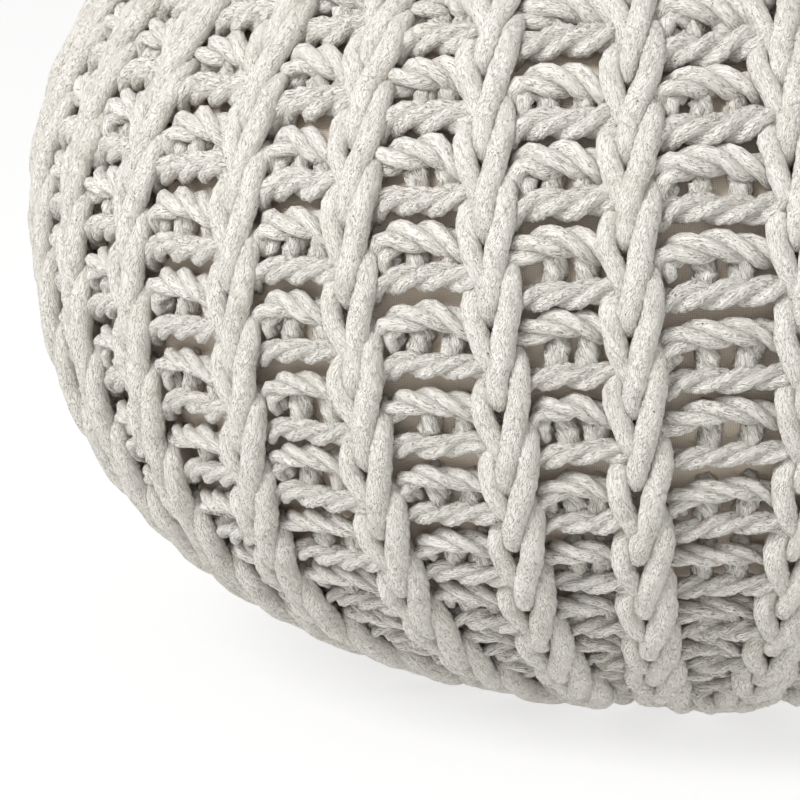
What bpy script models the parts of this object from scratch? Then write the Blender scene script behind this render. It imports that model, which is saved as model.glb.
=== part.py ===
"""Round knitted pouf: a filled fabric casing in a ribbed cover knitted from thick cotton cord.

Metres, +Z up. The origin is the middle of the base, on the floor. The pouf is a body turned about
the Z axis: a flattened base, a full belly, a domed crown, and a small hole at each pole, where the
last round of knitting is drawn together. The cover is one closed shell whose outside carries the
knit ribs; the casing is one filled solid inside it.
"""

import math

import bmesh
import bpy
from mathutils import Vector

# The pouf's form.
GIRTH_RADIUS = 0.250      # out to the rib crests at the widest girth
GIRTH_HEIGHT = 0.178      # floor to the widest girth
BELLY_DROP = 0.184        # how far the belly's curve would reach below the girth with no floor
BELLY_POWER = 2.32        # superellipse power of the belly; 2 would be an ellipse
CROWN_RISE = 0.190        # girth to the top of the crown
CROWN_POWER = 1.90        # superellipse power of the crown
DIMPLE_DEPTH = 0.014      # how far the drawn-in centre of the crown sinks
DIMPLE_RADIUS = 0.055     # how wide that sinking is

# The knitted cover.
RIB_COUNT = 30            # knit ribs round the girth
RIB_DEPTH = 0.006         # rib crest to the bars between two ribs
KNIT_THICKNESS = 0.016    # two cords deep
GATHER_RADIUS = 0.010     # the hole that the drawn-in round leaves at each pole
STEPS_PER_RIB = 4         # crest, flank, trough and flank
OUTSIDE_STATIONS = 20     # rings of points from pole to pole outside
INSIDE_STATIONS = 14      # and inside, which the casing follows

# The filled casing.
CASING_GAP = 0.0006       # clearance between cover and casing
CASING_STEPS = 48

FINE_STATIONS = 400       # samples that the evenly spaced stations are picked from
CREAM_CORD = (0.76, 0.74, 0.69, 1.0)
ECRU_CLOTH = (0.62, 0.57, 0.49, 1.0)


def clear_scene():
    """Removes what the file opened with."""
    for obj in list(bpy.data.objects):
        bpy.data.objects.remove(obj)


def crown_point(lean):
    """Radius and height on the crown; lean runs from 0 at the girth to a quarter turn at the pole."""
    radius = GIRTH_RADIUS * math.cos(lean) ** (2 / CROWN_POWER)
    height = GIRTH_HEIGHT + CROWN_RISE * math.sin(lean) ** (2 / CROWN_POWER)
    dimple = DIMPLE_DEPTH * math.exp(-((radius / DIMPLE_RADIUS) ** 2))
    return radius, height - dimple


def belly_point(lean):
    """Radius and height on the belly; lean runs from 0 at the girth down to the floor."""
    radius = GIRTH_RADIUS * math.cos(lean) ** (2 / BELLY_POWER)
    height = GIRTH_HEIGHT - BELLY_DROP * math.sin(lean) ** (2 / BELLY_POWER)
    return radius, height


def form_line():
    """The outside of the pouf as fine (radius, height) points, from the hole in the crown to the base's."""
    gather_lean = math.acos((GATHER_RADIUS / GIRTH_RADIUS) ** (CROWN_POWER / 2))
    floor_lean = math.asin((GIRTH_HEIGHT / BELLY_DROP) ** (BELLY_POWER / 2))
    crown = [crown_point(gather_lean * (1 - i / FINE_STATIONS)) for i in range(FINE_STATIONS)]
    belly = [belly_point(floor_lean * i / FINE_STATIONS) for i in range(FINE_STATIONS)]
    foot_radius = belly_point(floor_lean)[0]
    base = [(foot_radius + (GATHER_RADIUS - foot_radius) * i / FINE_STATIONS, 0.0)
            for i in range(FINE_STATIONS + 1)]
    return crown + belly + base


def outward(line, index):
    """The unit normal (radius, height) of a line of points at one of them, away from the pouf."""
    ahead = line[min(index + 1, len(line) - 1)]
    behind = line[max(index - 1, 0)]
    along = Vector((ahead[0] - behind[0], ahead[1] - behind[1])).normalized()
    return -along.y, along.x


def evenly_spaced(line, count):
    """The indices of count points of a line, an equal distance apart along it, with both ends."""
    travelled = [0.0]
    for before, after in zip(line, line[1:]):
        travelled.append(travelled[-1] + math.dist(before, after))
    chosen = []
    index = 0
    for station in range(count):
        wanted = travelled[-1] * station / (count - 1)
        while index < len(line) - 1 and travelled[index] < wanted:
            index += 1
        chosen.append(index)
    return chosen


def foot_index(line):
    """The point where the belly meets the floor, which is the first one at floor height."""
    return next(i for i, point in enumerate(line) if point[1] < 1e-9)


def with_foot(chosen, line):
    """The chosen stations, with the nearest one moved to the foot so that the base is flat to its rim."""
    foot = foot_index(line)
    nearest = min(range(1, len(chosen) - 1), key=lambda i: abs(chosen[i] - foot))
    return chosen[:nearest] + [foot] + chosen[nearest + 1:]


def offset_line(line, chosen, depth):
    """The chosen points of a line, moved inwards by depth; both ends keep the radius of the hole."""
    points = []
    for index in chosen:
        radius, height = line[index]
        across, up = outward(line, index)
        points.append((max(radius - across * depth, GATHER_RADIUS), max(height - up * depth, depth)))
    return points


def rib_fade(radius, height):
    """How much of the rib depth shows: none on the base and where the ribs run together at the crown."""
    above_floor = min(max(height / 0.05, 0.0), 1.0)
    off_axis = min(max((radius - 0.03) / 0.08, 0.0), 1.0)
    return above_floor * off_axis


def turned(name, points, closed, steps, troughs=None):
    """A mesh turned about Z from (radius, height) points, each with its trough's depth and direction."""
    mesh_data = bmesh.new()
    layers = [mesh_data.verts.layers.float.new(key) for key in ("depth", "across", "up")]
    verts = []
    for i, (radius, height) in enumerate(points):
        vert = mesh_data.verts.new((radius, 0.0, height))
        for layer, value in zip(layers, troughs[i] if troughs else (0.0, 0.0, 0.0)):
            vert[layer] = value
        verts.append(vert)
    pairs = list(zip(verts, verts[1:])) + ([(verts[-1], verts[0])] if closed else [])
    edges = [mesh_data.edges.new(pair) for pair in pairs]
    bmesh.ops.spin(mesh_data, geom=verts + edges, cent=(0, 0, 0), axis=(0, 0, 1),
                   angle=math.tau, steps=steps, use_merge=True)
    bmesh.ops.remove_doubles(mesh_data, verts=mesh_data.verts, dist=1e-5)
    for vert in mesh_data.verts:
        press_trough(vert, layers)
    bmesh.ops.recalc_face_normals(mesh_data, faces=mesh_data.faces)
    mesh = bpy.data.meshes.new(name)
    mesh_data.to_mesh(mesh)
    mesh_data.free()
    return mesh


def press_trough(vert, layers):
    """Moves a vertex of the outside in from the crests, by how far its bearing lies from a rib."""
    depth, across, up = (vert[layer] for layer in layers)
    bearing = math.atan2(vert.co.y, vert.co.x)
    inwards = depth * (1 - math.cos(RIB_COUNT * bearing)) / 2
    vert.co -= Vector((across * math.cos(bearing), across * math.sin(bearing), up)) * inwards


def material(name, colour, roughness):
    """A plain matt cloth finish."""
    made = bpy.data.materials.new(name)
    made.use_nodes = True
    shader = made.node_tree.nodes["Principled BSDF"]
    shader.inputs["Base Color"].default_value = colour
    shader.inputs["Roughness"].default_value = roughness
    shader.inputs["Metallic"].default_value = 0.0
    return made


def add_object(mesh, finish, collection):
    """Puts a mesh in the pouf's collection under its own name."""
    mesh.materials.append(finish)
    mesh.shade_smooth()
    mesh.set_sharp_from_angle(angle=math.radians(50))
    obj = bpy.data.objects.new(mesh.name, mesh)
    collection.objects.link(obj)
    return obj


def knit_cover():
    """The cover: ribbed outside, smooth inside, with a gathered hole at each pole."""
    line = form_line()
    outside = with_foot(evenly_spaced(line, OUTSIDE_STATIONS), line)
    points = []
    troughs = []
    for index in outside:
        radius, height = line[index]
        across, up = outward(line, index)
        points.append((radius, height))
        troughs.append((RIB_DEPTH * rib_fade(radius, height), across, up))
    inside = offset_line(line, evenly_spaced(line, INSIDE_STATIONS), KNIT_THICKNESS)
    points += reversed(inside)
    troughs += [(0.0, 0.0, 0.0)] * len(inside)
    return turned("knit_cover", points, True, RIB_COUNT * STEPS_PER_RIB, troughs)


def casing():
    """The filled casing, which shows between the cords of the knitting."""
    line = form_line()
    outside = offset_line(line, evenly_spaced(line, INSIDE_STATIONS), KNIT_THICKNESS + CASING_GAP)
    points = [(0.0, outside[0][1])] + outside + [(0.0, outside[-1][1])]
    return turned("casing", points, False, CASING_STEPS)


def build():
    """Makes the pouf."""
    clear_scene()
    collection = bpy.data.collections.new("knitted_pouf")
    bpy.context.scene.collection.children.link(collection)
    add_object(knit_cover(), material("cream_cotton_cord", CREAM_CORD, 0.9), collection)
    add_object(casing(), material("ecru_cotton_cloth", ECRU_CLOTH, 0.95), collection)


build()
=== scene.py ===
"""Looks of a round knitted pouf: thick twisted cotton cord over a filled calico casing.

The cover is knitted in a stretched rib. Between two raised columns of V stitches lies a wide
trough, crossed by two bars of cord in every course. Every cord is a closed tube whose section has
the lobes of its three plies, turning with the twist. Lengths are in metres, unless a name ends
in _mm.
"""

from __future__ import annotations

import logging
import math
from collections.abc import Callable
from dataclasses import dataclass, field
from enum import Enum

import bpy
import numpy as np
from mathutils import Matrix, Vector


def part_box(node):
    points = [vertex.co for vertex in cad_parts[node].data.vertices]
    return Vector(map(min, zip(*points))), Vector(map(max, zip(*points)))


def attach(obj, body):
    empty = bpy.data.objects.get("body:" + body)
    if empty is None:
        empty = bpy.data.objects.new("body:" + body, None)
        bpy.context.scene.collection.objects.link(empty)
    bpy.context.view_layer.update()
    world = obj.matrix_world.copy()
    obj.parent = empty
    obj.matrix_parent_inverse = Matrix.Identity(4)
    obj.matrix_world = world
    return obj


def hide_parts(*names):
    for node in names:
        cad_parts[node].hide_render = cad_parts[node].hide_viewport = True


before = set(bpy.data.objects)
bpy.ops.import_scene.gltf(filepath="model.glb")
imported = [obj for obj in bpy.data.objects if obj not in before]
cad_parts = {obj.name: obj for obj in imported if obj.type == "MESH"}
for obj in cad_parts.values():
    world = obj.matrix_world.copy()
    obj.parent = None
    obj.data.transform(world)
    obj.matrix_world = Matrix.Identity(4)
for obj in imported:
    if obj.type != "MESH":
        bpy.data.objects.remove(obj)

BODY = "root"
COVER_NODE = "knit_cover"
CASING_NODE = "casing"
MM = 0.001
REST_ATTRIBUTE = "cord_rest"
TINT_ATTRIBUTE = "cord_tint"
WEAVE_ATTRIBUTE = "weave"

MATH = "ShaderNodeMath"
NOISE = "ShaderNodeTexNoise"
RAMP = "ShaderNodeValToRGB"
ATTRIBUTE = "ShaderNodeAttribute"
# The sockets of a Mix node for colours, whose names its other modes share.
MIX_A, MIX_B, MIX_OUT = 6, 7, 2

Colour = tuple[float, float, float, float]
Material = bpy.types.Material
Tree = bpy.types.NodeTree
Socket = bpy.types.NodeSocket
Rows = tuple[tuple[float, ...], ...]
BLACK: Colour = (0.0, 0.0, 0.0, 1.0)
WHITE: Colour = (1.0, 1.0, 1.0, 1.0)

log = logging.getLogger("pouf")


# ---- shader helpers


def linear(hex_colour: str) -> Colour:
    """Turns an sRGB hex colour into linear RGBA.

    Args:
        hex_colour: six hex digits, with or without a leading hash.

    Returns:
        The linear colour, with alpha 1.
    """
    digits = hex_colour.lstrip("#")
    channels = [int(digits[i:i + 2], 16) / 255 for i in (0, 2, 4)]
    curved = [c / 12.92 if c <= 0.04045 else ((c + 0.055) / 1.055) ** 2.4 for c in channels]
    return (curved[0], curved[1], curved[2], 1.0)


def add_node(tree: Tree, kind: str, settings: dict[str, object] | None = None,
             inputs: dict[str | int, object] | None = None,
             stops: tuple[tuple[float, Colour], ...] = ()) -> bpy.types.Node:
    """Adds one shader node with its settings, values and links.

    Args:
        tree: the node tree that the node goes in.
        kind: the node's type, such as "ShaderNodeMath".
        settings: property names and their values.
        inputs: input names or numbers, each with a value or with the output socket that feeds it.
        stops: the places from 0 to 1 of the node's colour ramp, if it has one, each with its colour.

    Returns:
        The new node.
    """
    node = tree.nodes.new(kind)
    for name, value in (settings or {}).items():
        setattr(node, name, value)
    for key, value in (inputs or {}).items():
        if isinstance(value, Socket):
            tree.links.new(value, node.inputs[key])
        else:
            node.inputs[key].default_value = value
    for number, (place, colour) in enumerate(stops):
        elements = node.color_ramp.elements
        if number == len(elements):
            elements.new(place)
        elements[number].position = place
        elements[number].color = colour
    return node


def new_material(name: str, roughness: float, specular: float) -> tuple[Material, bpy.types.Node]:
    """Makes a material with a plain matt surface.

    Args:
        name: its name.
        roughness: how rough it is.
        specular: its specular level.

    Returns:
        The material and its surface shader.
    """
    made = bpy.data.materials.new(name)
    made.use_nodes = True
    shader = made.node_tree.nodes["Principled BSDF"]
    shader.inputs["Roughness"].default_value = roughness
    shader.inputs["Specular IOR Level"].default_value = specular
    return made, shader


# ---- finishes


# Cotton cord scatters light among its fibres: to the eye it has no gloss, only soft shade between the
# plies, a pale bloom of down at its edges, and here and there a dark crumb of seed.
@dataclass(frozen=True)
class TwistedCotton:
    """Undyed cotton cord, loosely spun and plied: matt, downy, with flecks of cotton seed."""

    name: str = "undyed_plied_cotton_cord"
    shade_hex: str = "#DAD4C6"
    body_hex: str = "#F2EEE5"
    bleached_hex: str = "#F3EFE8"
    painted_gap_shade_hex: str = "#A89D8B"  # the painted shade in the partings between two bundles of fibre
    fleck_hex: str = "#54483A"
    roughness: float = 0.92
    specular: float = 0.2
    sheen: float = 0.2
    sheen_roughness: float = 0.6
    plies: int = 3
    groove_mm: float = 2.0  # how deep the groove between two plies looks, past what the mesh has
    ply_power: float = 0.45  # the power of the cosine that a ply's back follows: less is flatter
    yarn_turn_mm: float = 60.0  # how far a yarn runs in one turn round the plies, against their twist
    yarn_roughness: float = 0.62  # how strong the finer layers of the noise along the yarns are
    fibre_mm: float = 0.32  # real cotton fibre is far finer; it is drawn as bundles that show
    fibre_run_mm: float = 2.7  # how far one bundle of fibres runs before it dips under the next
    fibre_height_mm: float = 0.25
    fibre_detail: float = 3.0
    fibre_range: tuple[float, float] = (0.32, 0.68)  # the noise in a dip and on a bundle's back
    fibre_painted_shade: float = 0.18  # painted shade: how much lighter a bundle's back is coloured than a dip
    parting_mm: float = 0.95  # the mean distance between two partings of the yarn
    parting_run_mm: float = 4.2  # how far a parting runs
    parting_depth_mm: float = 0.30
    parting_detail: float = 2.5
    parting_share: float = 0.042  # how wide a parting is, as the ridged noise counts it
    patch_mm: float = 100 / 33  # the size of a patch where the partings show, or where they don't
    patch_range: tuple[float, float] = (0.42, 0.62)  # the noise where they don't show and where they do
    down_mm: float = 0.6  # the size of one tuft of the loose fibre ends that stand off the cord
    down_height_mm: float = 0.36
    down_roughness: float = 0.7
    soft_detail: float = 2.0  # the finer layers in the down and the patches
    cloud_mm: float = 20 / 3  # the size of one cloud of colour
    cloud_detail: float = 5.0
    cloud_places: tuple[float, float, float] = (0.26, 0.52, 0.82)  # the noise at shade, body, bleached
    fleck_mm: float = 6.5  # the mean distance between two flecks
    fleck_reach: tuple[float, float] = (0.035, 0.06)  # a fleck's core and rim, as shares of fleck_mm

    def material(self) -> Material:
        """Makes the material, which reads the cord's own straightened coordinates.

        Returns:
            The material.
        """
        made, shader = new_material(self.name, self.roughness, self.specular)
        tree = made.node_tree
        rest = add_node(tree, ATTRIBUTE, {"attribute_name": REST_ATTRIBUTE}).outputs["Vector"]
        tint = add_node(tree, ATTRIBUTE, {"attribute_name": TINT_ATTRIBUTE}).outputs["Fac"]
        yarn = self._yarn_run(tree, rest)
        fibres = self._fibres(tree, yarn)
        parted = self._partings(tree, yarn)
        down = add_node(tree, NOISE, inputs={
            "Vector": rest, "Scale": 1 / (self.down_mm * MM), "Detail": self.soft_detail,
            "Roughness": self.down_roughness}).outputs["Fac"]
        tree.links.new(self._colour(tree, rest, tint, fibres, parted), shader.inputs["Base Color"])
        shader.inputs["Sheen Weight"].default_value = self.sheen
        shader.inputs["Sheen Roughness"].default_value = self.sheen_roughness
        reliefs = ((self._plies(tree, rest), self.groove_mm), (parted, self.parting_depth_mm),
                   (fibres, self.fibre_height_mm), (down, self.down_height_mm))
        under: dict[str, Socket] = {}
        for height, depth_mm in reliefs:
            bump = add_node(tree, "ShaderNodeBump", inputs={
                "Height": height, "Distance": depth_mm * MM, "Strength": 1.0, **under})
            under = {"Normal": bump.outputs["Normal"]}
        tree.links.new(under["Normal"], shader.inputs["Normal"])
        return made

    def _yarn_run(self, tree: Tree, rest: Socket) -> Socket:
        """Turns the straightened coordinates with the run of the yarns, which cross the plies.

        Args:
            tree: the node tree.
            rest: the straightened cord's coordinates.

        Returns:
            Coordinates whose first axis follows a yarn.
        """
        parts = add_node(tree, "ShaderNodeSeparateXYZ", inputs={0: rest})
        turn = add_node(tree, MATH, {"operation": "MULTIPLY"},
                        {0: parts.outputs["X"], 1: 2 * math.pi / (self.yarn_turn_mm * MM)})
        return add_node(tree, "ShaderNodeVectorRotate", {"rotation_type": "X_AXIS"},
                        {"Vector": rest, "Angle": turn.outputs[0]}).outputs[0]

    def _drawn_noise(self, tree: Tree, yarn: Socket, across_mm: float,
                     along_mm: float, detail: float) -> Socket:
        """Noise drawn out along the yarns.

        Args:
            tree: the node tree.
            yarn: the coordinates that follow a yarn.
            across_mm: the pattern's size across.
            along_mm: its size along.
            detail: how many finer layers it has.

        Returns:
            A value about a half.
        """
        across = 1 / (across_mm * MM)
        drawn = add_node(tree, "ShaderNodeVectorMath", {"operation": "MULTIPLY"},
                         {0: yarn, 1: (1 / (along_mm * MM), across, across)})
        return add_node(tree, NOISE, inputs={
            "Vector": drawn.outputs[0], "Scale": 1.0, "Detail": detail,
            "Roughness": self.yarn_roughness}).outputs["Fac"]

    def _fibres(self, tree: Tree, yarn: Socket) -> Socket:
        """The height of the fibre bundles.

        Args:
            tree: the node tree.
            yarn: the coordinates that follow a yarn.

        Returns:
            A height from 0 in a dip to 1 on a bundle's back.
        """
        noise = self._drawn_noise(tree, yarn, self.fibre_mm, self.fibre_run_mm, self.fibre_detail)
        dip, back = self.fibre_range
        return add_node(tree, RAMP, inputs={"Fac": noise},
                        stops=((dip, BLACK), (back, WHITE))).outputs["Color"]

    def _partings(self, tree: Tree, yarn: Socket) -> Socket:
        """The thin partings between bundles, where the noise crosses its middle; the colour darkens them as
        painted shade.

        Args:
            tree: the node tree.
            yarn: the coordinates that follow a yarn.

        Returns:
            A height from 0 in a parting to 1 beside it.
        """
        noise = self._drawn_noise(tree, yarn, self.parting_mm, self.parting_run_mm, self.parting_detail)
        centred = add_node(tree, MATH, {"operation": "SUBTRACT"}, {0: noise, 1: 0.5})
        size = add_node(tree, MATH, {"operation": "ABSOLUTE"}, {0: centred.outputs[0]})
        return add_node(tree, RAMP, inputs={"Fac": size.outputs[0]},
                        stops=((0.0, BLACK), (self.parting_share, WHITE))).outputs["Color"]

    def _plies(self, tree: Tree, rest: Socket) -> Socket:
        """The round back of each ply and the groove between two, sharper than the mesh draws them.

        Args:
            tree: the node tree.
            rest: the straightened cord's coordinates.

        Returns:
            A height from 0 in a groove to 1 on a ply's back.
        """
        parts = add_node(tree, "ShaderNodeSeparateXYZ", inputs={0: rest})
        angle = add_node(tree, MATH, {"operation": "ARCTAN2"},
                         {0: parts.outputs["Z"], 1: parts.outputs["Y"]})
        half = add_node(tree, MATH, {"operation": "MULTIPLY"},
                        {0: angle.outputs[0], 1: self.plies / 2})
        cosine = add_node(tree, MATH, {"operation": "COSINE"}, {0: half.outputs[0]})
        size = add_node(tree, MATH, {"operation": "ABSOLUTE"}, {0: cosine.outputs[0]})
        return add_node(tree, MATH, {"operation": "POWER"},
                        {0: size.outputs[0], 1: self.ply_power}).outputs[0]

    def _colour(self, tree: Tree, rest: Socket, tint: Socket,
                fibres: Socket, parted: Socket) -> Socket:
        """Cream that wanders between fibres and from one length of cord to the next, with flecks, and with
        painted shade in the fibres' dips and in the partings.

        Args:
            tree: the node tree.
            rest: the straightened cord's coordinates.
            tint: each cord's own place between shaded and bleached.
            fibres: the fibre height, which darkens the dips as painted shade.
            parted: the partings, which darken more as painted shade.

        Returns:
            The base colour.
        """
        cloud = add_node(tree, NOISE, inputs={
            "Vector": rest, "Scale": 1 / (self.cloud_mm * MM), "Detail": self.cloud_detail})
        # Painted shade: the fibres' dips are coloured darker than the bundles' backs.
        cloud_and_painted_shade = add_node(tree, MATH, {"operation": "MULTIPLY_ADD"},
                          {0: fibres, 1: self.fibre_painted_shade, 2: cloud.outputs["Fac"]})
        shifted = add_node(tree, MATH, {"operation": "ADD"}, {0: cloud_and_painted_shade.outputs[0], 1: tint})
        creams = (linear(self.shade_hex), linear(self.body_hex), linear(self.bleached_hex))
        base = add_node(tree, RAMP, inputs={"Fac": shifted.outputs[0]},
                        stops=tuple(zip(self.cloud_places, creams)))
        patch = add_node(tree, NOISE, inputs={
            "Vector": rest, "Scale": 1 / (self.patch_mm * MM), "Detail": self.soft_detail})
        hidden, shown = self.patch_range
        where = add_node(tree, RAMP, inputs={"Fac": patch.outputs["Fac"]},
                         stops=((hidden, BLACK), (shown, WHITE)))
        # Painted shade: where the partings show, the colour is mixed towards the gap's shade.
        dark = add_node(tree, MATH, {"operation": "SUBTRACT"}, {0: 1.0, 1: parted})
        painted_shade_amount = add_node(tree, MATH, {"operation": "MULTIPLY"},
                          {0: dark.outputs[0], 1: where.outputs["Color"]})
        with_painted_shade = add_node(tree, "ShaderNodeMix", {"data_type": "RGBA"}, {
            "Factor": painted_shade_amount.outputs[0], MIX_A: base.outputs["Color"], MIX_B: linear(self.painted_gap_shade_hex)})
        cells = add_node(tree, "ShaderNodeTexVoronoi", {"feature": "F1"},
                         {"Vector": rest, "Scale": 1 / (self.fleck_mm * MM), "Randomness": 1.0})
        core, rim = self.fleck_reach
        spot = add_node(tree, RAMP, inputs={"Fac": cells.outputs["Distance"]},
                        stops=((core, WHITE), (rim, BLACK)))
        flecked = add_node(tree, "ShaderNodeMix", {"data_type": "RGBA"}, {
            "Factor": spot.outputs["Color"], MIX_A: with_painted_shade.outputs[MIX_OUT], MIX_B: linear(self.fleck_hex)})
        return flecked.outputs[MIX_OUT]


# The V stitches are pulled tight, which closes the plies: their cord looks smoother and a little
# greyer, with fine lines of relief and fainter painted shade that cross it at a slant.
LOOSE_CORD = TwistedCotton()
DRAWN_CORD = TwistedCotton(
    name="undyed_plied_cotton_cord_drawn_tight", shade_hex="#D9D4C9", body_hex="#EDE9E0", painted_gap_shade_hex="#B9B1A3",
    groove_mm=0.3, yarn_turn_mm=44.0, fibre_run_mm=2.2, parting_mm=0.8, parting_run_mm=2.6,
    parting_share=0.032)


# Calico is bare woven thread: to the eye it is dull and slightly pink-brown where the cords shade it,
# with a fine even grid.
@dataclass(frozen=True)
class WovenCalico:
    """Unbleached calico in plain weave: matt, warm, each thread passing over and under the next."""

    name: str = "unbleached_woven_calico"
    thread_hex: str = "#F8ECDD"
    # The colour of the painted shade in the weave's hollows.
    painted_gap_shade_hex: str = "#E2D3C0"
    roughness: float = 0.95
    specular: float = 0.2
    thread_mm: float = 0.8  # real calico has one each 0.5 mm; it is drawn coarser so that it shows
    thread_height_mm: float = 0.3
    bump_strength: float = 0.8
    gap_edge: float = 0.35  # the weave's height where a thread's full colour starts, above the painted shade of the hollows
    slub_mm: float = 6.25  # the distance over which a thread swells and thins
    slub_detail: float = 4.0

    def material(self) -> Material:
        """Makes the material, which reads the cloth's own flat coordinates.

        Returns:
            The material.
        """
        made, shader = new_material(self.name, self.roughness, self.specular)
        tree = made.node_tree
        flat = add_node(tree, ATTRIBUTE, {"attribute_name": WEAVE_ATTRIBUTE}).outputs["Vector"]
        turns = add_node(tree, "ShaderNodeVectorMath", {"operation": "SCALE"},
                         {0: flat, "Scale": math.pi / (self.thread_mm * MM)})
        waves = add_node(tree, "ShaderNodeVectorMath", {"operation": "SINE"}, {0: turns.outputs[0]})
        parts = add_node(tree, "ShaderNodeSeparateXYZ", inputs={0: waves.outputs[0]})
        crossed = add_node(tree, MATH, {"operation": "MULTIPLY"},
                           {0: parts.outputs["X"], 1: parts.outputs["Y"]})
        height = add_node(tree, MATH, {"operation": "ABSOLUTE"}, {0: crossed.outputs[0]})
        slub = add_node(tree, NOISE, inputs={
            "Vector": flat, "Scale": 1 / (self.slub_mm * MM), "Detail": self.slub_detail})
        uneven = add_node(tree, MATH, {"operation": "MULTIPLY"},
                          {0: height.outputs[0], 1: slub.outputs["Fac"]}).outputs[0]
        # Painted shade: the lower the weave, the nearer its colour is to the hollows' shade, varied by the
        # slubs.
        colour = add_node(tree, RAMP, inputs={"Fac": uneven},
                          stops=((0.0, linear(self.painted_gap_shade_hex)), (self.gap_edge, linear(self.thread_hex))))
        bump = add_node(tree, "ShaderNodeBump", inputs={
            "Height": uneven, "Distance": self.thread_height_mm * MM, "Strength": self.bump_strength})
        tree.links.new(colour.outputs["Color"], shader.inputs["Base Color"])
        tree.links.new(bump.outputs["Normal"], shader.inputs["Normal"])
        return made


# Lit paper has no edge and no shine: to the eye it is an even white, with a faint shadow.
@dataclass(frozen=True)
class StudioPaper:
    """White background paper lit from beneath, so that it stays pale in the pouf's shadow."""

    name: str = "white_backlit_studio_paper"
    colour_hex: str = "#939392"
    glow_hex: str = "#FFFFFF"
    glow: float = 0.70

    def material(self) -> Material:
        """Makes the material.

        Returns:
            The material.
        """
        made, shader = new_material(self.name, roughness=1.0, specular=0.0)
        shader.inputs["Base Color"].default_value = linear(self.colour_hex)
        shader.inputs["Emission Color"].default_value = linear(self.glow_hex)
        shader.inputs["Emission Strength"].default_value = self.glow
        return made


# ---- form


@dataclass
class PoufForm:
    """The surface through the tops of the ribs, a body turned about Z, with its arc length."""

    radius: float
    girth_height: float = 0.178
    belly_drop: float = 0.184
    belly_power: float = 2.32
    crown_rise: float = 0.190
    crown_power: float = 1.90
    dimple_depth: float = 0.014
    dimple_radius: float = 0.055
    samples: int = 1500
    table: dict[str, np.ndarray] = field(init=False, repr=False)

    def __post_init__(self) -> None:
        """Works out the profile once, as columns that interpolation reads."""
        lean = np.linspace(0.0, math.pi / 2, self.samples)
        crown_r = self.radius * np.cos(lean) ** (2 / self.crown_power)
        crown_z = self.girth_height + self.crown_rise * np.sin(lean) ** (2 / self.crown_power)
        crown_z -= self.dimple_depth * np.exp(-((crown_r / self.dimple_radius) ** 2))
        floor_lean = math.asin((self.girth_height / self.belly_drop) ** (self.belly_power / 2))
        lean = np.linspace(floor_lean, 0.0, self.samples)
        belly_r = self.radius * np.cos(lean) ** (2 / self.belly_power)
        belly_z = self.girth_height - self.belly_drop * np.sin(lean) ** (2 / self.belly_power)
        base_r = np.linspace(0.0, belly_r[0], self.samples)
        r = np.concatenate([base_r[:-1], belly_r[:-1], crown_r])
        z = np.concatenate([np.zeros(self.samples - 1), belly_z[:-1], crown_z])
        s = np.concatenate([[0.0], np.cumsum(np.hypot(np.diff(r), np.diff(z)))])
        s -= s[2 * (self.samples - 1)]
        along_r = np.gradient(r, s)
        along_z = np.gradient(z, s)
        size = np.hypot(along_r, along_z)
        self.table = {"s": s, "r": r, "z": z, "nr": along_z / size, "nz": -along_r / size}

    def column(self, name: str, s: np.ndarray | float) -> np.ndarray:
        """Reads one column of the table at arc length s, which is 0 at the girth and grows upwards."""
        return np.interp(s, self.table["s"], self.table[name])

    def place(self, bearing: np.ndarray, s: np.ndarray, height: np.ndarray) -> np.ndarray:
        """Puts points on the form.

        Args:
            bearing: angles about Z, in radians from +X.
            s: arc lengths from the girth.
            height: distances out from the surface.

        Returns:
            The points, one in each row.
        """
        r = self.column("r", s) + self.column("nr", s) * height
        z = self.column("z", s) + self.column("nz", s) * height
        return np.stack([r * np.cos(bearing), r * np.sin(bearing), z], axis=-1)

    def normal(self, bearing: np.ndarray, s: np.ndarray) -> np.ndarray:
        """The outward normals at those bearings and arc lengths, one in each row."""
        nr = self.column("nr", s)
        return np.stack([nr * np.cos(bearing), nr * np.sin(bearing), self.column("nz", s)], axis=-1)


# ---- cord


# How round the back of a ply is in the cord's section: more is rounder, with a narrower groove.
LOBE_ROUNDNESS = 3.6
# How far a cord's closed end stands out, as a share of its radius.
END_BULGE = 0.6
# The fewest rings of points that the shortest cord has.
LEAST_RINGS = 4


class Twist(Enum):
    """Which way the plies turn along the cord, seen from outside: rising to the right, or falling."""

    RISING = 1.0
    FALLING = -1.0


@dataclass(frozen=True)
class CordShape:
    """How one kind of cord length is spun and drawn."""

    radius_mm: float
    relief: float  # how deep the grooves are, as a share of the radius
    pitch_mm: float  # one full turn of a ply
    twist: Twist
    ring_mm: float = 2.8  # distance between two rings of points
    sides: int = 12
    plies: int = 3


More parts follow.
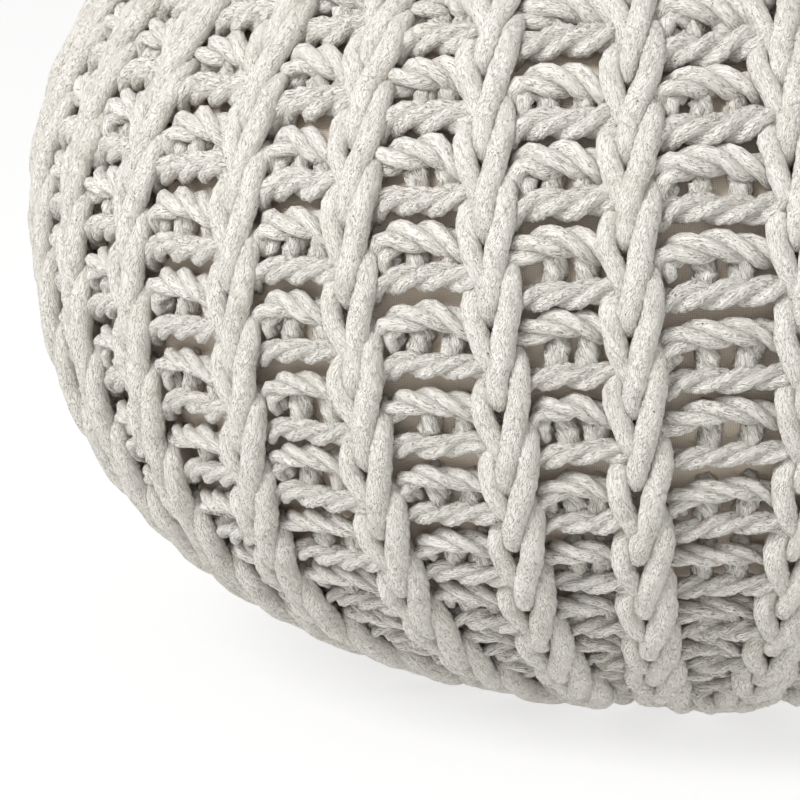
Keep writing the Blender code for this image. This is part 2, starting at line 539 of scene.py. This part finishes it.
@dataclass
class CordMesh:
    """A growing mesh of many closed tubes."""

    name: str
    points: list[np.ndarray] = field(default_factory=list)
    faces: list[np.ndarray] = field(default_factory=list)
    rest: list[np.ndarray] = field(default_factory=list)
    tint: list[np.ndarray] = field(default_factory=list)
    count: int = 0

    def add_tube(self, path: np.ndarray, up: np.ndarray, width: np.ndarray, shape: CordShape,
                 phase: float, tint: float, start: float) -> None:
        """Adds one length of cord as a tube that closes at both ends.

        Args:
            path: centre points, evenly spaced.
            up: the form's normal at each of them.
            width: the share of the full radius at each of them.
            shape: how this cord is spun.
            phase: the plies' turn at the start, in radians.
            tint: this length's shift between shaded and bleached.
            start: how far along the cord's own length the texture starts.
        """
        step = np.linalg.norm(np.diff(path, axis=0), axis=1)
        run = np.concatenate([[0.0], np.cumsum(step)])
        ahead = np.gradient(path, axis=0)
        ahead /= np.linalg.norm(ahead, axis=1, keepdims=True)
        side = np.cross(ahead, up)
        side /= np.linalg.norm(side, axis=1, keepdims=True)
        top = np.cross(side, ahead)
        turn = 2 * math.pi * np.arange(shape.sides) / shape.sides
        lobe = 1 - shape.relief * np.abs(np.sin(shape.plies * turn / 2)) ** LOBE_ROUNDNESS
        spin = shape.twist.value * 2 * math.pi * run / (shape.pitch_mm * MM) + phase
        angle = spin[:, None] + turn[None, :]
        reach = shape.radius_mm * MM * width[:, None] * lobe[None, :]
        ring = path[:, None, :] + reach[..., None] * (
            np.cos(angle)[..., None] * side[:, None, :] + np.sin(angle)[..., None] * top[:, None, :])
        rings, sides = angle.shape
        rest = np.empty((rings, sides, 3))
        rest[..., 0] = run[:, None] + start
        rest[..., 1] = shape.radius_mm * MM * np.cos(turn)[None, :]
        rest[..., 2] = shape.radius_mm * MM * np.sin(turn)[None, :] * shape.twist.value
        ends = np.array([path[0] - ahead[0] * reach[0].mean() * END_BULGE,
                         path[-1] + ahead[-1] * reach[-1].mean() * END_BULGE])
        end_rest = np.array([[start, 0.0, 0.0], [run[-1] + start, 0.0, 0.0]])
        self.points.append(np.concatenate([ring.reshape(-1, 3), ends]))
        self.rest.append(np.concatenate([rest.reshape(-1, 3), end_rest]))
        self.tint.append(np.full(rings * sides + 2, tint))
        self.faces.append(tube_faces(rings, sides) + self.count)
        self.count += rings * sides + 2

    def build(self, material: Material) -> bpy.types.Object:
        """Makes the object, in the scene's own collection.

        Args:
            material: its finish.

        Returns:
            The object.
        """
        points = np.concatenate(self.points)
        points[:, 2] = np.maximum(points[:, 2], 0.0)
        faces = np.concatenate(self.faces)[:, ::-1]
        mesh = mesh_from(self.name, points, faces)
        rest = mesh.attributes.new(REST_ATTRIBUTE, "FLOAT_VECTOR", "POINT")
        rest.data.foreach_set("vector", np.concatenate(self.rest).astype(np.float32).ravel())
        tint = mesh.attributes.new(TINT_ATTRIBUTE, "FLOAT", "POINT")
        tint.data.foreach_set("value", np.concatenate(self.tint).astype(np.float32))
        mesh.materials.append(material)
        return link_object(self.name, mesh)


def tube_faces(rings: int, sides: int) -> np.ndarray:
    """The triangles of a closed tube, whose two end points come after its rings.

    Args:
        rings: how many rings of points it has.
        sides: how many points each ring has.

    Returns:
        Vertex numbers, three in each row.
    """
    ring = np.arange(rings - 1)[:, None] * sides
    here = np.arange(sides)[None, :]
    following = (here + 1) % sides
    a, b = ring + here, ring + following
    c, d = b + sides, a + sides
    body = np.concatenate([np.stack([a, b, c], -1).reshape(-1, 3), np.stack([a, c, d], -1).reshape(-1, 3)])
    first = rings * sides
    tail = first - sides
    start = np.stack([np.full(sides, first), following[0], here[0]], -1)
    end = np.stack([np.full(sides, first + 1), tail + here[0], tail + following[0]], -1)
    return np.concatenate([body, start, end])


def mesh_from(name: str, points: np.ndarray, faces: np.ndarray) -> bpy.types.Mesh:
    """Makes a smooth mesh from arrays.

    Args:
        name: the mesh's name.
        points: one point in each row.
        faces: vertex numbers, one face in each row.

    Returns:
        The mesh.
    """
    mesh = bpy.data.meshes.new(name)
    mesh.vertices.add(len(points))
    mesh.vertices.foreach_set("co", points.astype(np.float32).ravel())
    corners = faces.shape[1]
    mesh.loops.add(len(faces) * corners)
    mesh.loops.foreach_set("vertex_index", faces.astype(np.int32).ravel())
    mesh.polygons.add(len(faces))
    mesh.polygons.foreach_set("loop_start", np.arange(0, len(faces) * corners, corners, dtype=np.int32))
    mesh.update(calc_edges=True)
    mesh.validate()
    mesh.shade_smooth()
    return mesh


def link_object(name: str, mesh: bpy.types.Mesh) -> bpy.types.Object:
    """Puts a mesh in the scene under a name.

    Args:
        name: the object's name.
        mesh: its mesh.

    Returns:
        The object.
    """
    made = bpy.data.objects.new(name, mesh)
    bpy.context.scene.collection.objects.link(made)
    return made


# ---- knitted cover

# Each row of a path: across the column, up from its crotch, out from the ribs' tops (mm), and width.
RIGHT_LEG = (
    (6.2, 30.0, -10.8, 0.42),
    (8.4, 25.0, -7.4, 0.78),
    (8.6, 17.5, -5.2, 0.96),
    (7.3, 9.0, -4.4, 1.02),
    (5.3, 1.0, -4.1, 1.05),
    (3.2, -7.0, -4.0, 1.05),
    (1.5, -14.0, -4.4, 1.02),
    (0.3, -19.5, -5.4, 0.98),
    (-0.5, -23.8, -7.4, 0.88),
    (-0.9, -27.0, -10.8, 0.55),
)
LEFT_LEG = (
    (0.2, 20.5, -12.0, 0.50),
    (-4.2, 16.5, -9.0, 0.88),
    (-6.3, 11.0, -6.2, 1.00),
    (-6.0, 5.0, -5.0, 1.02),
    (-4.4, -1.0, -4.9, 1.04),
    (-2.4, -6.5, -5.4, 1.00),
    (-0.7, -11.5, -6.8, 0.94),
    (0.5, -16.0, -9.2, 0.80),
    (1.2, -20.0, -12.0, 0.50),
)

# Each row of a bar's path: place in the clear half of the trough (-1 to 1), further on under the
# column (mm), up from the crotch, out from the ribs' tops (mm), and width.
UPPER_BAR = (
    (-1.0, -7.0, 6.5, -14.5, 0.80),
    (-1.0, -0.5, 12.2, -11.2, 0.95),
    (-0.55, 0.0, 16.0, -9.8, 1.00),
    (0.1, 0.0, 17.3, -9.2, 1.03),
    (0.65, 0.0, 17.9, -8.8, 1.02),
    (1.0, 2.6, 19.5, -8.0, 1.00),
    (1.0, 6.8, 20.3, -8.4, 0.92),
)
LOWER_BAR = (
    (-1.0, -6.0, -3.5, -14.0, 0.90),
    (-1.0, 0.0, -0.8, -11.2, 1.02),
    (-0.55, 0.0, 2.2, -9.9, 1.04),
    (-0.1, 0.0, 4.0, -9.3, 1.04),
    (0.35, 0.0, 4.3, -9.3, 1.04),
    (0.75, 0.0, 2.9, -9.9, 1.00),
    (1.0, 1.0, 0.8, -11.2, 0.94),
    (1.0, 7.0, -2.0, -14.5, 0.80),
)
HOOKED_BAR = (
    (-0.74, 0.0, -8.6, -13.2, 0.90),
    (-0.86, 0.0, -3.6, -11.0, 1.02),
    (-0.66, 0.0, 1.4, -10.0, 1.05),
    (-0.15, 0.0, 4.0, -9.3, 1.04),
    (0.30, 0.0, 4.5, -9.3, 1.04),
    (0.72, 0.0, 2.9, -9.9, 1.00),
    (1.0, 1.0, 0.8, -11.2, 0.94),
    (1.0, 7.0, -2.0, -14.5, 0.80),
)
# The purl stitches' legs, which pass behind the bars.
BACK_LOOP = (
    (0.0, 0.0, 5.0, -15.5, 0.8),
    (0.04, 0.0, -1.5, -13.8, 1.0),
    (0.02, 0.0, -7.0, -12.9, 1.0),
    (-0.04, 0.0, -12.0, -13.6, 0.9),
)
BACK_PLACES = (-0.18, 0.58)

# How the columns at the front stray from their even places: a shift (mm), a slant and a bow (mm in
# each WANDER_STEP of arc length, and in its square).
FRONT_WANDER = {
    15: (-1.0, 0.5, 0.0),
    16: (-3.5, 1.5, 0.0),
    17: (-6.5, 2.5, 0.0),
    18: (-9.3, 4.0, 0.0),
    19: (-0.8, 2.9, -1.9),
    20: (-1.0, 0.0, -0.5),
    21: (0.8, -1.6, -0.9),
    22: (-3.1, 0.9, 0.5),
    23: (3.3, 0.8, 0.0),
    24: (2.0, 0.4, 0.0),
}
WANDER_STEP = 0.050
WANDER_REACH = (-2.6, 1.7)   # the steps below and above the girth where straying stops growing
WANDER_FADE = (0.08, 0.16)   # the radii inside which no column strays and outside which all of it shows


def smooth_path(table: np.ndarray, per_span: int = 7) -> np.ndarray:
    """Runs a smooth curve through the rows of a table, in all its columns.

    Args:
        table: one row for each point that the curve passes.
        per_span: how many samples lie between two rows.

    Returns:
        The curve's samples, one in each row.
    """
    padded = np.concatenate([[2 * table[0] - table[1]], table, [2 * table[-1] - table[-2]]])
    t = (np.arange(per_span) / per_span)[None, :, None]
    p0, p1, p2, p3 = (padded[i:len(padded) - 3 + i, None, :] for i in range(4))
    curve = 0.5 * (2 * p1 + (p2 - p0) * t + (2 * p0 - 5 * p1 + 4 * p2 - p3) * t ** 2
                   + (3 * p1 - p0 - 3 * p2 + p3) * t ** 3)
    return np.concatenate([curve.reshape(-1, table.shape[1]), table[-1:]])


@dataclass
class KnitCover:
    """The cover: columns of V stitches and the bars between them."""

    form: PoufForm
    columns: int = 30
    course_mm: float = 29.95  # from one V's crotch to the next
    first_crotch_mm: float = 80.4  # a crotch's height above the girth, along the surface
    trim_mm: float = 9.5  # from a column's middle to the trough's edge
    merge_radius: float = 0.100  # inside this, two columns run on as one
    merge_from: float = 0.135  # where the two start to lean together
    gather_radius: float = 0.013  # the ring that the crown's last stitches are drawn into
    foot_radius: float = 0.003  # and the base's
    hooked_share: float = 0.7  # how many lower bars turn down at their left end
    slimming: float = 0.30  # the share that the bars lose at the foot
    slim_between: tuple[float, float] = (0.04, -0.05)  # the arc lengths where it starts and ends
    seed: int = 7
    sectors: int = 5  # the pieces that the ribs and the bars are each cut into
    straying: tuple[float, float, float] = (2.0, 1.2, 0.6)  # how far the other columns stray, as above
    # How far hand knitting moves each row of a path across, along and out.
    leg_jitter_mm: tuple[float, float, float] = (0.35, 0.5, 0.2)
    bar_jitter_mm: tuple[float, float, float] = (0.3, 0.7, 0.3)
    back_jitter_mm: tuple[float, float, float] = (0.8, 0.8, 0.4)
    v_drop_mm: float = 0.9  # how far a whole V moves up or down
    bar_drop_mm: float = 0.6  # and a whole bar
    width_spread: float = 0.03  # how much one cord's width differs from the next
    # The mean and the spread of the cords' places between shaded and bleached.
    leg_tint: tuple[float, float] = (-0.03, 0.03)
    bar_tint: tuple[float, float] = (0.05, 0.03)
    back_tint: tuple[float, float] = (0.02, 0.03)
    easy_spacing: float = 0.0195  # below this distance between columns, their Vs are squeezed
    least_squeeze: float = 0.42
    squeezed_depth: float = 0.5  # the shares of depth and of width that a fully squeezed V keeps
    squeezed_width: float = 0.35
    least_bar: float = 0.001  # half the trough's width below which it has no bar
    least_back: float = 0.006  # and no back loops
    axis_radius: float = 0.012  # nearer to the axis, bearings stop widening
    cord_run: float = 40.0  # the run of cord on which each length's pattern starts somewhere
    skew: float = -0.075  # how far the columns slant above the belly, as a stretched knit does
    skew_from: float = -0.045  # the arc length below which they stand straight
    right_leg: CordShape = CordShape(4.3, 0.08, 60.0, Twist.RISING, ring_mm=3.4, sides=10)
    left_leg: CordShape = CordShape(3.95, 0.08, 60.0, Twist.RISING, ring_mm=3.4, sides=10)
    upper_bar: CordShape = CordShape(6.3, 0.45, 36.0, Twist.RISING, ring_mm=3.5, sides=18)
    lower_bar: CordShape = CordShape(6.1, 0.44, 34.0, Twist.FALLING, ring_mm=3.5, sides=18)
    back_cord: CordShape = CordShape(5.0, 0.3, 36.0, Twist.RISING, ring_mm=3.6, sides=9)

    def __post_init__(self) -> None:
        """Starts the random draws and one mesh for each sector of columns and bars."""
        self.random = np.random.default_rng(self.seed)
        self.ribs = [CordMesh(f"knit_ribs_{i + 1}") for i in range(self.sectors)]
        self.bars = [CordMesh(f"knit_bars_{i + 1}") for i in range(self.sectors)]
        self.backs = CordMesh("knit_back_loops")
        self.wander = self.random.normal(0.0, 1.0, (self.columns, 3)) * self.straying
        for column, drawn in FRONT_WANDER.items():
            self.wander[column] = drawn

    def crotches(self) -> list[float]:
        """Works out where the courses lie.

        Returns:
            The arc lengths of their crotches, from the base's ring to the crown's.
        """
        low, high = self.form.table["s"][[0, -1]]
        step = self.course_mm * MM
        first = self.first_crotch_mm * MM
        count_down = int((first - low - self.foot_radius) / step)
        count_up = int((high - first - self.gather_radius) / step)
        return [first + step * i for i in range(-count_down, count_up + 1)]

    def bearing(self, column: int, s: np.ndarray) -> np.ndarray:
        """A column's bearing along the arc length, with its lean, its wander and the merging of pairs.

        Args:
            column: its number.
            s: arc lengths.

        Returns:
            Angles about Z.
        """
        spacing = 2 * math.pi / self.columns
        r = self.form.column("r", s)
        own = column * spacing
        pair = (column // 2 * 2 + 0.5) * spacing
        blend = np.clip((self.merge_from - r) / (self.merge_from - self.merge_radius), 0.0, 1.0)
        blend = blend * blend * (3 - 2 * blend)
        drift = self.skew * np.maximum(s, self.skew_from) / self.form.radius
        shift, slant, bow = self.wander[column]
        steps = np.clip(s / WANDER_STEP, *WANDER_REACH)
        sway = MM * (shift + slant * steps + bow * steps ** 2)
        inner, outer = WANDER_FADE
        fade = np.clip((r - inner) / (outer - inner), 0.0, 1.0)
        return own + (pair - own) * blend + drift + sway * fade / np.maximum(r, self.axis_radius)

    def lay(self, mesh: CordMesh, bearing_of: Callable[[np.ndarray, np.ndarray], np.ndarray],
            table: np.ndarray, crotch: float, shape: CordShape, tint: float) -> None:
        """Lays one length of cord along a path on the form.

        Args:
            mesh: the mesh it goes in.
            bearing_of: gives the bearings from (metres across, arc lengths).
            table: path rows of across, up and out in metres, and width.
            crotch: the arc length that up is measured from.
            shape: how the cord is spun.
            tint: its shift between shaded and bleached.
        """
        fine = smooth_path(table)
        s = crotch + fine[:, 1]
        bearing = bearing_of(fine[:, 0], s)
        points = self.form.place(bearing, s, fine[:, 2])
        ups = self.form.normal(bearing, s)
        run = np.concatenate([[0.0], np.cumsum(np.linalg.norm(np.diff(points, axis=0), axis=1))])
        rings = max(int(round(run[-1] / (shape.ring_mm * MM))) + 1, LEAST_RINGS)
        at = np.linspace(0.0, run[-1], rings)
        path = np.stack([np.interp(at, run, points[:, i]) for i in range(3)], -1)
        up = np.stack([np.interp(at, run, ups[:, i]) for i in range(3)], -1)
        mesh.add_tube(path, up, np.interp(at, run, fine[:, 3]), shape,
                      self.random.uniform(0, 2 * math.pi), tint, self.random.uniform(0, self.cord_run))

    def jitter(self, table: Rows, spread_mm: tuple[float, float, float]) -> np.ndarray:
        """A path's table in metres with each row moved a little, as hand knitting is.

        Args:
            table: the path's rows, whose last four columns are across, up, out and width.
            spread_mm: how far a row may move across, up or down, and in or out.

        Returns:
            The moved rows.
        """
        rows = np.array(table, dtype=float)
        rows[:, -4:-1] += self.random.normal(0.0, 1.0, (len(rows), 3)) * spread_mm
        rows[:, -4:-1] *= MM
        rows[:, -1] *= 1 + self.random.normal(0.0, self.width_spread)
        return rows

    def knit_v(self, column: int, crotch: float, spacing: float, mesh: CordMesh) -> None:
        """Lays the two legs of one V.

        Args:
            column: the column's number.
            crotch: the arc length of the V's crotch.
            spacing: the distance to the next column there.
            mesh: the mesh it goes in.
        """
        squeeze = min(max(spacing / self.easy_spacing, self.least_squeeze), 1.0)
        drop = self.random.normal(0.0, self.v_drop_mm) * MM
        tint = self.random.normal(*self.leg_tint)
        for table, shape in ((LEFT_LEG, self.left_leg), (RIGHT_LEG, self.right_leg)):
            rows = self.jitter(table, self.leg_jitter_mm)
            rows[:, 0] *= squeeze
            rows[:, 2] *= self.squeezed_depth + (1 - self.squeezed_depth) * squeeze
            rows[:, 3] *= self.squeezed_width + (1 - self.squeezed_width) * squeeze
            self.lay(mesh, lambda u, s: self.bearing(column, s) + u / np.maximum(
                self.form.column("r", s), self.axis_radius), rows, crotch + drop, shape, tint)

    def knit_bars(self, column: int, crotch: float, mesh: CordMesh) -> None:
        """Lays the two bars of one course, and the loops behind them, to the right of a column.

        Args:
            column: the column to the left.
            crotch: the arc length of the course's crotches.
            mesh: the mesh that the bars go in.
        """
        r = float(self.form.column("r", crotch))
        half = float(self.half_gap(column, np.array([crotch]))[0]) * r - self.trim_mm * MM
        if half < self.least_bar:
            return

        def bearing_of(across: np.ndarray, s: np.ndarray) -> np.ndarray:
            """The bearings at some distances across from the trough's middle."""
            return self.bearing(column, s) + self.half_gap(column, s) + across / r

        lower = HOOKED_BAR if self.random.random() < self.hooked_share else LOWER_BAR
        for table, shape in ((UPPER_BAR, self.upper_bar), (lower, self.lower_bar)):
            moved = self.jitter(table, self.bar_jitter_mm)
            moved[:, 1] += np.array(table)[:, 0] * half
            moved[:, 2] += self.random.normal(0.0, self.bar_drop_mm) * MM
            moved[:, 4] *= self.slimness(crotch)
            self.lay(mesh, bearing_of, moved[:, 1:], crotch, shape, self.random.normal(*self.bar_tint))
        if half < self.least_back:
            return
        for place in BACK_PLACES:
            moved = self.jitter(BACK_LOOP, self.back_jitter_mm)
            moved[:, 1] += (np.array(BACK_LOOP)[:, 0] + place) * half
            self.lay(self.backs, bearing_of, moved[:, 1:], crotch, self.back_cord,
                     self.random.normal(*self.back_tint))

    def slimness(self, s: float) -> float:
        """How far the bars are drawn thinner towards the foot, where the load stretches them."""
        top, foot = self.slim_between
        return 1 - self.slimming * min(max((top - s) / (top - foot), 0.0), 1.0)

    def half_gap(self, column: int, s: np.ndarray) -> np.ndarray:
        """Half the angle from a column to the next one, which may be below 0 where a pair merges."""
        gap = self.bearing((column + 1) % self.columns, s) - self.bearing(column, s)
        return ((gap + math.pi) % (2 * math.pi) - math.pi) / 2

    def build(self, finish: Material, drawn_finish: Material) -> list[bpy.types.Object]:
        """Knits the whole cover.

        Args:
            finish: the cord's material.
            drawn_finish: the same cord where the V stitches draw it tight.

        Returns:
            The pieces.
        """
        for crotch in self.crotches():
            r = float(self.form.column("r", crotch))
            run_together = 2 if r < self.merge_radius else 1
            for column in range(self.columns):
                sector = column * self.sectors // self.columns
                if column % run_together == 0:
                    spacing = 2 * math.pi * r * run_together / self.columns
                    self.knit_v(column, crotch, spacing, self.ribs[sector])
                self.knit_bars(column, crotch, self.bars[sector])
        return [mesh.build(drawn_finish) for mesh in self.ribs] + [
            mesh.build(finish) for mesh in self.bars + [self.backs]]


# ---- casing


@dataclass
class Casing:
    """The filled cloth casing, which shows in the gaps of the knitting."""

    form: PoufForm
    depth: float = 0.0163  # below the ribs' tops
    around: int = 120
    stations: int = 60
    pucker_mm: float = 0.8
    puckers: int = 9  # how many ring it
    wave: float = 0.013  # the arc length over which a pucker turns by one radian
    swirl: float = 2.0  # how far the puckers lean to and fro, in radians
    swirls: int = 3
    least_radius: float = 1e-4

    def build(self, finish: Material) -> bpy.types.Object:
        """Makes the casing as one closed turned mesh with shallow puckers.

        Args:
            finish: the calico.

        Returns:
            The object.
        """
        low, high = self.form.table["s"][[0, -1]]
        s = np.linspace(low, high, self.stations)[1:-1]
        bearing = np.arange(self.around) * 2 * math.pi / self.around
        grid_s, grid_b = np.meshgrid(s, bearing, indexing="ij")
        lean = grid_s / self.wave + self.swirl * np.sin(self.swirls * grid_b)
        pucker = self.pucker_mm * MM * np.sin(lean) * np.sin(self.puckers * grid_b)
        points = self.form.place(grid_b, grid_s, -self.depth + pucker)
        inside = np.maximum(np.hypot(points[..., 0], points[..., 1]), self.least_radius)
        radius = self.form.column("r", grid_s)
        points[..., :2] *= np.where(radius < self.depth, radius / inside, 1.0)[..., None]
        points[..., 2] = np.maximum(points[..., 2], self.depth)
        rows, across = grid_s.shape
        poles = np.array([[0.0, 0.0, points[0, :, 2].mean()], [0.0, 0.0, points[-1, :, 2].mean()]])
        every = np.concatenate([points.reshape(-1, 3), poles])
        mesh = mesh_from("calico_casing", every, tube_faces(rows, across))
        self._lay_flat(mesh, grid_s, across, rows)
        mesh.materials.append(finish)
        return link_object("calico_casing", mesh)

    def _lay_flat(self, mesh: bpy.types.Mesh, grid_s: np.ndarray, across: int, rows: int) -> None:
        """Gives each face corner its place on the flat cloth, whole across the seam.

        Args:
            mesh: the casing's mesh.
            grid_s: the arc length of each vertex.
            across: vertices in a ring.
            rows: rings.
        """
        corners = np.empty(len(mesh.loops), dtype=np.int32)
        mesh.loops.foreach_get("vertex_index", corners)
        s = np.concatenate([grid_s.ravel(), grid_s.ravel()[[0, -1]]])[corners]
        number = np.where(corners < across * rows, corners % across, 0).reshape(-1, 3)
        wraps = (number.max(axis=1) - number.min(axis=1)) > across / 2
        number = np.where(wraps[:, None] & (number < across / 2), number + across, number)
        u = number.ravel() * 2 * math.pi * self.form.radius / self.around
        flat = mesh.attributes.new(WEAVE_ATTRIBUTE, "FLOAT_VECTOR", "CORNER")
        flat.data.foreach_set("vector", np.stack([u, s, np.zeros_like(u)], -1).astype(np.float32).ravel())


# ---- studio


@dataclass
class Studio:
    """A white paper floor, soft light and the camera."""

    floor_half: float = 6.0
    girth_height: float = 0.178
    camera_distance: float = 2.0
    camera_bearing: float = math.radians(-91.83)
    camera_elevation: float = math.radians(9.54)
    swing: float = math.radians(-3.12)  # how far the lens points to the left of the pouf's axis
    tilt: float = math.radians(-2.24)  # and below the girth
    lens_mm: float = 239.1
    sensor_mm: float = 36.0
    surround: float = 0.74
    key_place: tuple[float, float, float] = (-1.62, -1.80, 2.0)
    key_size: float = 1.2
    key_power: float = 69.0

    def build(self) -> None:
        """Makes the floor, the lights and the camera."""
        self._floor()
        self._lights()
        self._camera()
        bpy.context.scene.view_settings.view_transform = "Standard"

    def _floor(self) -> None:
        """A wide paper floor, just under the pouf."""
        half = self.floor_half
        points = np.array([[-half, -half, 0], [half, -half, 0], [half, half, 0], [-half, half, 0]])
        mesh = mesh_from("studio_floor", points, np.array([[0, 1, 2, 3]]))
        mesh.materials.append(StudioPaper().material())
        link_object("studio_floor", mesh)

    def _lights(self) -> None:
        """An even white surround and one large soft light from high on the left."""
        world = bpy.data.worlds.new("soft_surround")
        world.use_nodes = True
        world.node_tree.nodes["Background"].inputs["Color"].default_value = WHITE
        world.node_tree.nodes["Background"].inputs["Strength"].default_value = self.surround
        bpy.context.scene.world = world
        data = bpy.data.lights.new("key", "AREA")
        data.shape = "SQUARE"
        data.size = self.key_size
        data.energy = self.key_power
        light = bpy.data.objects.new("key", data)
        bpy.context.scene.collection.objects.link(light)
        light.location = self.key_place
        light.rotation_euler = aim(np.array(self.key_place), np.array([0.0, 0.0, self.girth_height]))

    def _camera(self) -> None:
        """The camera, at the height and angle that show the lower half of the pouf's left side."""
        across = self.camera_distance * math.cos(self.camera_elevation)
        place = np.array([across * math.cos(self.camera_bearing), across * math.sin(self.camera_bearing),
                          self.girth_height + self.camera_distance * math.sin(self.camera_elevation)])
        ahead = np.array([0.0, 0.0, self.girth_height]) - place
        ahead /= np.linalg.norm(ahead)
        right = np.cross(ahead, (0.0, 0.0, 1.0))
        right /= np.linalg.norm(right)
        up = np.cross(right, ahead)
        look = (ahead * math.cos(self.swing) * math.cos(self.tilt) + right * math.sin(self.swing)
                + up * math.cos(self.swing) * math.sin(self.tilt))
        data = bpy.data.cameras.new("camera")
        data.lens = self.lens_mm
        data.sensor_width = self.sensor_mm
        camera = bpy.data.objects.new("camera", data)
        bpy.context.scene.collection.objects.link(camera)
        camera.location = place
        camera.rotation_euler = aim(place, place + look)
        bpy.context.scene.camera = camera


def aim(place: np.ndarray, target: np.ndarray) -> tuple[float, float, float]:
    """The rotation that points a light or camera's -Z from a place at a target, with no roll."""
    ahead = target - place
    return (math.atan2(math.hypot(ahead[0], ahead[1]), -ahead[2]), 0.0, math.atan2(-ahead[0], ahead[1]))


# ---- main


def main() -> None:
    """Builds the pouf's pieces in order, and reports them."""
    logging.basicConfig(level=logging.INFO, format="%(name)s: %(message)s")
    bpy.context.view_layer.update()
    low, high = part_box(COVER_NODE)
    form = PoufForm(radius=(high[0] - low[0]) / 2)
    for piece in KnitCover(form).build(LOOSE_CORD.material(), DRAWN_CORD.material()):
        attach(piece, BODY)
        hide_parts(COVER_NODE)
        log.info("%s: %d triangles", piece.name, len(piece.data.polygons))
    casing = Casing(form).build(WovenCalico().material())
    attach(casing, BODY)
    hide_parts(CASING_NODE)
    log.info("%s: %d triangles", casing.name, len(casing.data.polygons))
    Studio(girth_height=form.girth_height).build()


if __name__ == "__main__":
    main()
